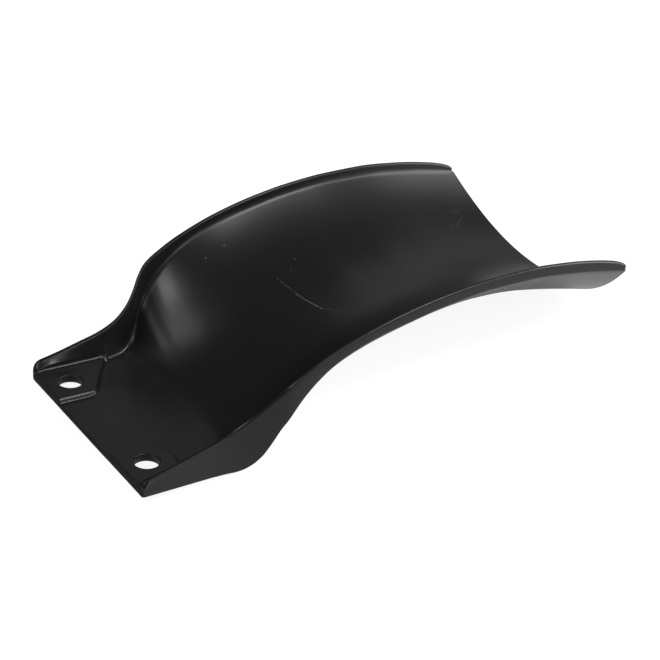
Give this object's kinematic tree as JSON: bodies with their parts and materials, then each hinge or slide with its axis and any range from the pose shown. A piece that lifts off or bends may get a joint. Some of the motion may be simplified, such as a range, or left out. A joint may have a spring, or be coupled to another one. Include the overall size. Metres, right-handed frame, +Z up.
{
  "type": "shock absorber mud flap",
  "caption": "Moulded black plastic guard flap: a flat drilled tab that bends up into an arched, gutter-shaped wing with flanged sides, which keeps mud off a rear shock absorber.",
  "frame": {"origin": "midway between the two fixing holes, on the flat underside of the tab", "axes": "+X from the tab to the wing's free end, +Y across to the flange on the far side, +Z up along the holes, out of the tab's underside"},
  "size_m": [0.2143, 0.1094, 0.0585],
  "materials": {
    "shell_plastic": "black polypropylene as moulded, satin, with a fine grain and light scuffs"
  },
  "bodies": {
    "root": {"flap": "shell_plastic"}
  },
  "joints": []
}
